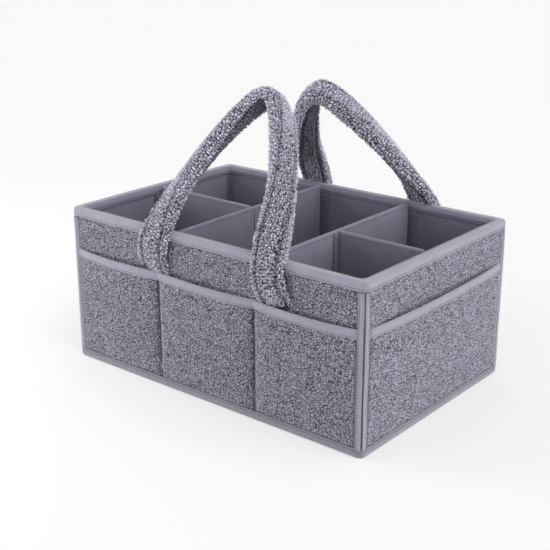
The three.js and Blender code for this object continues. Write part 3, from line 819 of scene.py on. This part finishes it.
def edge_tape(side, end):
    """Tape on an upright edge of a wall, a strip outside and another inside."""
    reach = EDGE_TAPE
    web = FLANGE_IN - TAPE
    inner = FLANGE_IN + EDGE_TAPE_INSIDE
    lip = ((0.0, 1.2), (-0.3, 0.2), (-1.2, -0.15), (-1.9, 0.3), (-2.3, 0.3), (-3.0, -0.3))
    outside = [
        *profile(reach, 0.0, *lip, (-4.2, -0.55)),
        (3.2, -0.5), (2.2, -0.2), (1.65, 0.4), (1.6, 1.1), (1.8 + EDGE_MITRE, 1.8),
    ]
    inside = [
        (FLANGE_IN + EDGE_MITRE, FLANGE_IN),
        *profile(inner, FLANGE_IN, (-0.5, 0.1), (0.0, -0.5), (-0.2, -TAPE)),
        (web + EDGE_MITRE + 1.7, web), (4.6, POCKET_CLOTH), (reach, POCKET_CLOTH),
    ]
    edge, depth = np.transpose(outside + inside)
    half = span_of(side) / 2
    index = SIDES.index(side)
    height = spaced(EDGE_LOW, EDGE_TOP, 4.0)[:, None]
    puff = np.where(depth < POCKET_CLOTH - 0.1, 0.2, 0.0)
    wave = puff * ripple(height, edge, wavelength=40.0, seed=3 + index)
    rings = turned(side, end * (half - edge), depth + wave, height)
    neighbour = SIDES[(index + end) % 4]
    tape = tube(f"{side}_edge_tape_{neighbour}", rings, TAPE_MATERIAL)
    # painted shade: the faces in the corner notch and on the inside strip take the shaded cloth
    column = np.arange(len(tape.data.polygons)) % len(depth) - len(outside)
    face_with(tape, SHADE_MATERIAL, (column >= -3) & (column < 4))
    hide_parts(f"{side}_edge_binding_{neighbour}")
    height = spaced(EDGE_LOW + 1.0, EDGE_TOP - 1.0, 4.0)
    path = turned(side, end * (half - reach + 2.1), 0.2, height)
    stitches(f"{side}_edge_stitches_{neighbour}", path, outward_of(side))


def loop_path(depth, height, least=LEAST_RADIUS):
    """Points round the box at a depth and height, and the way that each faces."""
    loop = rounded_loop(depth, least)
    near_wall = np.abs(loop) > np.array([LENGTH, DEPTH]) / 2 - CORNER_ZONE
    outward = np.column_stack([np.where(near_wall, np.sign(loop), 0.0), np.zeros(len(loop))])
    return np.column_stack([loop, np.full(len(loop), height)]), outward


def rim_tape():
    low = RIM_LOW + 0.8
    inner_low = RIM_TOP - RIM_INSIDE
    web_top = WALL_TOP + CLEARANCE
    lip = ((0.4, 0.0), (-0.4, 0.3), (-0.7, 1.2), (-0.15, 2.0), (-0.15, 2.5), (-0.7, 3.3))
    fold = ((-0.6, -2.6), (0.0, -1.2), (1.0, -0.3), (2.6, 0.0), (4.6, -0.2), (6.8, -0.7))
    inner_lip = ((0.15, 3.4), (-0.35, 2.6), (-0.35, 2.2), (0.1, 1.5), (-0.2, 0.3), (-TAPE, 0.0))
    outside = [
        *profile(0.0, low, *lip), (-0.85, mix(low, RIM_TOP, 0.6)), *profile(0.0, RIM_TOP, *fold),
        *profile(FLANGE_IN, RIM_TOP, (-2.6, -1.3), (-0.9, -2.9)),
    ]
    inside = [
        (FLANGE_IN, RIM_TOP - 4.8), *profile(FLANGE_IN, inner_low, *inner_lip),
        (FLANGE_IN - TAPE, web_top), (POCKET_CLOTH, web_top), (POCKET_CLOTH, low),
    ]
    tape = hoop("rim_tape", outside + inside, TAPE_MATERIAL, puff=0.15, seed=21, least=RIM_CORNER)
    # painted shade: the tape's inner lip takes the darker lining cloth
    row = np.arange(len(tape.data.polygons)) // len(rounded_loop(0.0))
    face_with(tape, LINING_MATERIAL, row >= len(outside) - 3)
    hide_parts("rim_binding")
    path, outward = loop_path(-0.25, low + 2.25)
    stitches("rim_stitches_outside", path, outward, closed=True)
    path, outward = loop_path(FLANGE_IN - 0.3, inner_low + 2.4, RIM_CORNER)
    stitches("rim_stitches_inside", path, -outward, closed=True, bold=True)


def base_tape():
    low = BASE_LOW
    top = BASE_TOP + 1.8
    lip = ((0.4, -0.2), (-0.2, 0.0), (-0.7, -0.4), (-0.85, -1.2), (-0.4, -2.0), (-0.4, -2.4))
    section = [
        (LINING_IN, low), (LINING_IN, low + 1.0), (TAPE, low + 1.0), (TAPE, BASE_TOP - TAPE),
        (LINING_IN, BASE_TOP - TAPE), (LINING_IN, BASE_TOP), (2.2, BASE_TOP + 0.1),
        (0.5, BASE_TOP + 0.2), *profile(0.0, top, *lip, (-0.95, -3.2)),
        (-1.0, mix(low, top, 0.5)), *profile(0.0, low, (-0.6, 1.7), (0.4, 0.5), (1.4, 0.1)),
    ]
    tape = hoop("base_tape", section, SHADED_BASE_TAPE_MATERIAL, puff=0.08, seed=22)
    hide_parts("base_binding")
    path, outward = loop_path(-0.5, top - 2.2)
    stitches("base_stitches", path, outward, closed=True)


# Lining, base and dividers


def lining_wall(side):
    half = half_along(side, f"{side}_wall_lining")
    places, levels = spaced(-half, half, 5.0), spaced(WALL_LOW, LINING_TOP, 5.0)
    along, height = np.meshgrid(places, levels)
    loose = pressed(along, height, half, WALL_LOW, LINING_TOP, reach=32.0)
    seed = 41 + SIDES.index(side)
    puff = 0.5 + 0.5 * ripple(along, height * 0.6, wavelength=85.0, seed=seed)
    front = turned(side, along, LINING_IN - 0.1 + loose * 0.35 * puff, height)
    back = turned(side, along[[0, -1]], LINING_OUT, height[[0, -1]])
    piece = closed_panel(f"{side}_lining", front, back, LINING_MATERIAL)
    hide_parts(f"{side}_wall_lining")


def flat_cloth(node, name, puff, seed):
    """A sheet of cloth that lies flat, a little uneven on top."""
    low, high = node_box(node)
    x, y = np.meshgrid(spaced(low[0], high[0], 6.0), spaced(low[1], high[1], 6.0))
    edge = np.minimum(high[0] - np.abs(x), high[1] - np.abs(y))
    uneven = 0.5 + 0.5 * ripple(x, y, wavelength=70.0, seed=seed)
    height = high[2] - puff * uneven * ease(edge / 20.0)
    top = np.stack([x, y, height], -1)
    under = top[[0, -1]]
    under[..., 2] = low[2]
    piece = closed_panel(name, top, under, LINING_MATERIAL)
    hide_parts(node)


def panel_outline(along, low, high, half, inset, seed, wave):
    """Up one face of an upright panel, over its rounded top and down the other face."""
    shoulder = high - DIVIDER_ROUND
    height = spaced(low, shoulder, 8.0)
    flat = half - 0.25 - inset
    least = half - 0.5
    loose = ease((high - height - 4.0) / 25.0)
    faces = []
    for sign in (1, -1):
        bow = wave * ripple(along, height * 0.7, wavelength=75.0, seed=seed + sign)
        faces.append(sign * np.maximum(flat + (bow - wave) * loose, least))
    angle = np.linspace(0.0, math.pi, 8)[1:-1]
    across = np.concatenate([faces[0], max(flat, least) * np.cos(angle), faces[1][::-1]])
    up = np.concatenate([height, shoulder + DIVIDER_ROUND * np.sin(angle), height[::-1]])
    return across, up


def upright_panel(name, node, axis, body, seed, wave, hinge=0):
    """A folded cloth cover over a board, with a rounded top edge and slightly uneven faces.
    axis is the one that the panel runs along, 0 for X and 1 for Y.
    hinge is the end that is rounded to turn, 1 for the far one, -1 for the near one, 0 for none."""
    end_inset = 0.9
    low, high = node_box(node)
    near, far = low[axis], high[axis]
    across = 1 - axis
    middle = (low[across] + high[across]) / 2
    half = (high[across] - low[across]) / 2
    places = spaced(near, far, 6.0)
    turning = far if hinge > 0 else near
    if hinge:
        round_end = turning - hinge * half * np.array([0.01, 0.1, 0.3, 0.6, 1.0])
        straight = places[np.abs(places - turning) > 1.5 * half]
        places = np.sort(np.concatenate([straight, round_end]))
    rings = []
    for along in places:
        inset = max(end_inset - (along - near), end_inset - (far - along), 0.0)
        inward = 1.0 - min(abs(along - turning) / half, 1.0) if hinge else 0.0
        taper = math.sqrt(1.0 - inward**2)
        out, up = panel_outline(along, low[2], high[2], half, inset, seed, wave)
        rings.append(upright_points(axis, along, middle + taper * out, up))
    piece = tube(name, rings, LINING_MATERIAL, body)
    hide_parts(node)
    along = spaced(near + 2.0, far - 2.0, 6.0)
    for sign, word in ((1, "a"), (-1, "b")):
        path = upright_points(axis, along, middle + sign * (half - 0.3), high[2] - DIVIDER_SEAM)
        outward = upright_points(axis, 0.0, sign, 0.0)
        stitches(f"{name}_stitches_{word}", path, outward, body, bold=True)


def strip(node, body):
    """A flat tape with softened edges."""
    soft = 0.4
    low, high = node_box(node)
    thin = int(np.argmin(high - low))
    wide = 1 - thin
    kind = node.split("_", 1)[1]
    slope = 4.0 if kind == "loop_strip" else soft
    height = spaced(low[2], high[2], 6.0)[:, None]
    inset = np.maximum(soft - np.minimum(height - low[2], high[2] - height), 0.0)
    near, far = low[wide] + inset, high[wide] - inset
    along = np.hstack([near, near + slope, far - slope, far])
    along = np.hstack([along, along[:, ::-1]])
    face, back = low[thin], high[thin]
    across = (face + soft, face, face, face + soft, back - soft, back, back, back - soft)
    rings = upright_points(wide, along, across, height)
    # painted shade: the hinge strips take the shaded cloth
    material = {"hinge_strip": SHADE_MATERIAL, "loop_strip": LINING_MATERIAL}
    piece = tube(f"{node}_tape", rings, material.get(kind, HOOK_MATERIAL), body)
    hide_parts(node)


def hinge_seam(side):
    """Seam and stitches of a half panel's hinge, on the far face of its cross panel; the seam is a
    strip of the shaded cloth, painted shade along the hinge.
    """
    low, high = node_box(f"{side}_divider_cover")
    middle = np.mean(node_box(f"{side}_hinge_strip"), axis=0)
    outward = 1.0 if side == "left" else -1.0
    face = (high if outward > 0.0 else low)[0] - 0.3 * outward
    path = upright_points(0, face, middle[1], spaced(low[2] + 3.0, high[2] - 3.0, 6.0))
    stitches(f"{side}_hinge_stitches", path, (outward, 0.0, 0.0))
    section = np.array([(-0.3, -0.9, 0.0), (0.35, -0.7, 0.0), (0.35, 0.7, 0.0), (-0.3, 0.9, 0.0)])
    rings = path[:, None, :] + section * np.array([outward, 1.0, 1.0])
    # painted shade: a dark strip of the shaded cloth along the seam
    piece = tube(f"{side}_hinge_seam", rings, SHADE_MATERIAL)


# Handles


def arch(rise):
    """Centre line of a handle's loop, along the wall and up its own plane."""
    half = ARCH_SPACING / 2
    share = np.linspace(0.0, 1.0, ARCH_STEPS)[:, None]
    rest = 1.0 - share
    foot = np.array([-half, 0.0])
    shoulder = np.array([ARCH_SHOULDER - half, ARCH_SHOULDER_HEIGHT])
    crown = np.array([-ARCH_CROWN, rise])
    top = np.array([0.0, rise])
    left = (rest**3 * foot + 3 * rest**2 * share * shoulder
            + 3 * rest * share**2 * crown + share**3 * top)
    right = left[::-1] * np.array([-1.0, 1.0])
    return np.vstack([left, right[1:]])


def smoothed(data, width):
    """A running average that keeps both ends in place."""
    reach = int(3 * width)
    kernel = np.exp(-0.5 * (np.arange(-reach, reach + 1) / width) ** 2)
    kernel /= kernel.sum()
    start = 2 * data[:1] - data[1:reach + 1][::-1]
    end = 2 * data[-1:] - data[-reach - 1:-1][::-1]
    longer = np.vstack([start, data, end])
    return np.stack([np.convolve(column, kernel, "valid") for column in longer.T], -1)


def strap_foot():
    """Sewn end of a handle: its centre line up the wall, with facing, width and thickness."""
    height = np.linspace(MOUTH - FOOT_TUCK, RIM_TOP - FOOT_STOP, FOOT_STEPS)
    share = (height - FOOT_LOW) / (RIM_TOP - FOOT_LOW)
    standing = ease((height - MOUTH + FOOT_TUCK) / 26.0)
    leaving = ease((height - RIM_LOW + 8.0) / 10.0)
    outer = mix(FOOT_SINK, -CLEARANCE - STRAP_THICK, standing)
    inner = mix(FLEECE_OUT - CLEARANCE, -CLEARANCE, leaving)
    centre = -mix(FOOT_SPACING, ARCH_SPACING, share) / 2
    width = mix(FOOT_WIDTH, STRAP_WIDTH, share)
    none = np.zeros(FOOT_STEPS)
    spots = np.column_stack([centre, (inner + outer) / 2, height])
    return spots, np.column_stack([none, none - 1.0, none, width, inner - outer])


def strap_line(rise, lean):
    """Centre line of a handle on the front wall, with facing, width and thickness."""
    angle = math.radians(lean)

    def leaned(y, z):
        return y * math.cos(angle) + z * math.sin(angle), z * math.cos(angle) - y * math.sin(angle)

    line = arch(rise)
    reach = travelled(line)
    from_rim = np.minimum(reach, reach[-1] - reach)
    free = from_rim >= STRAP_FREE
    along, up = line[free].T
    right, climb = unit(np.gradient(line, axis=0))[free].T
    share = from_rim[free] / (reach[-1] / 2)
    twist = math.radians(STRAP_TWIST) * (1.0 - (1.0 - share) ** TWIST_HASTE)
    y, z = leaned(PIVOT_CLEARANCE + STRAP_THICK / 2, up)
    face_y, face_z = leaned(-np.cos(twist), right * np.sin(twist))
    slim = ease(share * SLIM_HASTE)
    width = mix(STRAP_WIDTH, GRIP_WIDTH, slim)
    thick = mix(STRAP_THICK, GRIP_THICK, slim) + LEG_PLUMP * np.sin(math.pi * share)
    spots = np.column_stack([along, y - PIVOT_OUT, z + RIM_TOP + CLEARANCE])
    facts = np.column_stack([-climb * np.sin(twist), face_y, face_z, width, thick])

    foot, foot_facts = strap_foot()
    other_foot = foot[::-1] * np.array([-1.0, 1.0, 1.0])
    return np.vstack([foot, spots, other_foot]), np.vstack([foot_facts, facts, foot_facts[::-1]])


def strap_outline():
    """Evenly spaced outline of the strap: its points across and through, outward directions,
    depth of the sewn grooves, distance round it and whole girth."""
    angle = np.linspace(0.0, 2.0 * math.pi, 721)
    across = np.cos(angle)
    from_groove = (np.abs(across) - GROOVE_AT) * STRAP_WIDTH / 2
    sunk = np.where(np.sin(angle) > 0.0, GROOVE_OUTSIDE, GROOVE_INSIDE)
    groove = sunk * np.exp(-((from_groove / GROOVE_WIDTH) ** 2))
    half = STRAP_THICK / 2 * (1.0 - across**4) ** 0.25
    outline = np.stack([STRAP_WIDTH / 2 * across, np.sign(np.sin(angle)) * half], -1)
    reach = travelled(outline)
    where = np.linspace(0.0, reach[-1], STRAP_POINTS, endpoint=False)
    even = sampled(where, reach, outline)
    ahead = np.roll(even, -1, axis=0) - np.roll(even, 1, axis=0)
    normal = unit(np.stack([ahead[:, 1], -ahead[:, 0]], -1))
    return even, normal, np.interp(where, reach, groove), where, reach[-1]


def handle(side):
    rise, lean, place, seed = HANDLES[side]
    angle = math.radians(lean)
    spots, facts = strap_line(rise, lean)
    spots_reach = travelled(spots)
    steps = spaced(0.0, spots_reach[-1], STRAP_FINE)
    line = smoothed(sampled(steps, spots_reach, spots), STRAP_SMOOTH / STRAP_FINE)
    facts = smoothed(sampled(steps, spots_reach, facts), STRAP_SMOOTH / STRAP_FINE)
    tangent = unit(np.gradient(line, axis=0))
    face = square_to(tangent, facts[:, :3])
    across = np.cross(tangent, face)
    reach = travelled(line)
    from_end = np.minimum(reach, reach[-1] - reach)[:, None]
    outline, normal, groove, around, girth = strap_outline()

    # Pile: short where the strap is sewn to the wall or worn, and in its grooves; the colour
    # follows it, so these places get painted shade
    inside = outline[:, 1] < 0.0
    worn = inside & (np.abs(outline[:, 0]) < WORN_AND_SHADED_WIDTH * STRAP_WIDTH / 2)
    sewn = inside & (from_end < STRAP_SEWN)
    fading = mix(1.0, GROOVE_FADED, between(from_end, 60.0, 110.0))
    groove = groove * np.where(inside, 1.0, fading)
    girth_at, reach_at = np.meshgrid(around, reach)
    curled = curls(girth_at, reach_at, girth / STRAP_CURLS, seed, period=STRAP_CURLS)
    tall = np.where(sewn, SEWN_PILE, 1.0) * np.where(worn, WORN_PILE, 1.0)
    tall = tall * (1.0 - GROOVE_PILE * groove)
    tall = tall * np.clip(from_end / STRAP_CLOSE, END_PILE, 1.0)
    pile = tall * frizzy(curled, STRAP_CURL_SHARE, STRAP_CONTRAST, seed)

    height = STRAP_PILE * pile - STRAP_SINK
    closing = np.sqrt(1.0 - (1.0 - np.clip(from_end / STRAP_CLOSE, 0.0, 1.0)) ** 2)
    closing = mix(STRAP_SHUT, 1.0, closing)
    wide = outline[:, 0] * facts[:, 3:4] / STRAP_WIDTH + height * normal[:, 0]
    thick = outline[:, 1] * facts[:, 4:5] / STRAP_THICK + height * normal[:, 1]
    thick = thick - groove * np.sign(outline[:, 1])
    points = line[:, None, :] + across[:, None, :] * (wide * closing)[..., None]
    points = points + face[:, None, :] * (thick * closing)[..., None]
    raised = np.clip((line[:, 2:] - RIM_TOP) / (rise * math.cos(angle)), 0.0, 1.0)
    shift = (place + ARCH_SWAY * raised) * (1.0 if side == "front" else -1.0)
    rings = turned(side, points[..., 0] + shift, points[..., 1], points[..., 2])
    strap = tube(f"{side}_handle_strap", rings, STRAP_MATERIAL, body=None)
    # painted shade: the strap is coloured darker towards its sewn ends
    painted_foot_shade = mix(FOOT_PAINTED_SHADE, 1.0, between(from_end, 20.0, 130.0))
    # painted shade on the middle of the strap's inner face, darker away from the feet
    painted_inner_shade = mix(1.0, INSIDE_PAINTED_SHADE, between(from_end, 70.0, 130.0))
    set_pile(strap, pile * painted_foot_shade * np.where(worn, painted_inner_shade, 1.0))

    start_depth = BLEND_DEPTH - PIVOT_OUT
    end_depth = start_depth + BLEND_ABOVE * math.sin(angle)
    start = turned(side, 0.0, start_depth, RIM_TOP - BLEND_BELOW) * METRES
    end = turned(side, 0.0, end_depth, RIM_TOP + BLEND_ABOVE * math.cos(angle)) * METRES
    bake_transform(strap)
    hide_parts(f"{side}_handle_cover", f"{side}_handle_core",
                f"{side}_handle_foot_left", f"{side}_handle_foot_right")


def dress_boards():
    """Boards stay as they are in the frame, inside the cloth."""
    for name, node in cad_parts.items():
        if name.endswith("_board"):
            node.data.materials.clear()
            node.data.materials.append(BOARD_MATERIAL)


# Stage


def seen_directly(tree):
    """1 for a ray from the camera or a reflection, 0 for one that lights."""
    path = tree.nodes.new("ShaderNodeLightPath")
    seen = path.outputs["Is Camera Ray"]
    for kind in ("Is Glossy Ray", "Is Transmission Ray"):
        either = tree.nodes.new("ShaderNodeMath")
        either.operation = "MAXIMUM"
        tree.links.new(seen, either.inputs[0])
        tree.links.new(path.outputs[kind], either.inputs[1])
        seen = either.outputs[0]
    return seen


def mix_surface(tree, share, first, second, output):
    """Sends a mix of two shaders to the output of a material or a world."""
    choose = tree.nodes.new("ShaderNodeMixShader")
    for socket, value in zip(choose.inputs, (share, first, second)):
        tree.links.new(value, socket)
    tree.links.new(choose.outputs[0], tree.nodes[output].inputs["Surface"])


def floor_material():
    white_share = 0.45
    shader = Shader("floor", roughness=0.9)
    shader.colour(shader.blend(shader.noise(400.0), (0.95, 0.95, 0.95), (0.97, 0.97, 0.97)))
    paper = shader.add("Emission", Color=(1.0, 1.0, 1.0, 1.0))
    tree = shader.material.node_tree
    share = shader.math("MULTIPLY", seen_directly(tree), white_share)
    mix_surface(tree, share, shader.surface.outputs[0], paper.outputs[0], "Material Output")
    return shader.material


def add_world():
    world = bpy.data.worlds.new("studio")
    SCENE.world = world
    world.use_nodes = True
    tree = world.node_tree
    light = tree.nodes["Background"]
    light.inputs["Color"].default_value = (1.0, 1.0, 1.0, 1.0)
    light.inputs["Strength"].default_value = 0.64
    white = tree.nodes.new("ShaderNodeBackground")
    white.inputs["Color"].default_value = (0.975, 0.975, 0.975, 1.0)
    seen = seen_directly(tree)
    mix_surface(tree, seen, light.outputs[0], white.outputs[0], "World Output")


def add_lamp(name, kind, energy, from_direction):
    lamp = bpy.data.lights.new(name, kind)
    lamp.energy = energy
    holder = add_object(name, lamp)
    holder.rotation_euler = Vector(from_direction).to_track_quat("Z", "Y").to_euler()
    return lamp, holder


def stage():
    size = 12000.0
    corners = [(-size, -size, 0.0), (size, -size, 0.0), (size, size, 0.0), (-size, size, 0.0)]
    ground = add_mesh("floor", corners, [[0, 1, 2, 3]], floor_material(), body=None)
    add_world()
    key, _ = add_lamp("key", "SUN", energy=1.8, from_direction=(0.86, -0.14, 0.49))
    key.angle = math.radians(85.0)
    fill, holder = add_lamp("fill", "AREA", energy=3.0, from_direction=(-0.55, -0.42, 0.26))
    fill.size = 0.5
    holder.location = (-0.75, -0.55, 0.35)
    holder.visible_camera = False


def camera():
    picture = 550.0
    focal = 1100.7
    azimuth = math.radians(39.317)
    elevation = math.radians(19.435)
    away = 1300.0
    target = Vector((-48.77, 41.32, 85.0))
    back = Vector((
        math.sin(azimuth) * math.cos(elevation),
        -math.cos(azimuth) * math.cos(elevation),
        math.sin(elevation),
    ))
    lens = bpy.data.cameras.new("camera")
    lens.sensor_width = 36.0
    lens.lens = lens.sensor_width * focal / picture
    lens.clip_start = 0.05
    lens.clip_end = 100.0
    view = add_object("camera", lens)
    view.location = (target + back * away) * METRES
    view.rotation_euler = back.to_track_quat("Z", "Y").to_euler()
    SCENE.camera = view
    SCENE.view_settings.view_transform = "Standard"


camera()
stage()
dress_boards()
for wall_side in SIDES:
    wall_fleece(wall_side)
    pocket(wall_side)
    lining_wall(wall_side)
    edge_tape(wall_side, 1)
    edge_tape(wall_side, -1)
rim_tape()
base_tape()
flat_cloth("base_lining", "inside_floor", puff=0.4, seed=51)
flat_cloth("base_cloth", "underside", puff=0.2, seed=52)
for end, draw in (("left", 61), ("right", 63)):
    upright_panel(f"{end}_divider", f"{end}_divider_cover", 1, "caddy", draw, wave=0.35)
for end, draw, turn in (("left", 65, 1), ("right", 67, -1)):
    upright_panel(f"{end}_half_divider", f"{end}_half_cover", 0, f"{end}_half", draw, 0.3, turn)
for end in ("left", "right"):
    for kind in ("hinge_strip", "loop_strip", "divider_hook_front", "divider_hook_back"):
        strip(f"{end}_{kind}", "caddy")
    strip(f"{end}_half_hook", f"{end}_half")
    hinge_seam(end)
for handle_side in HANDLES:
    handle(handle_side)
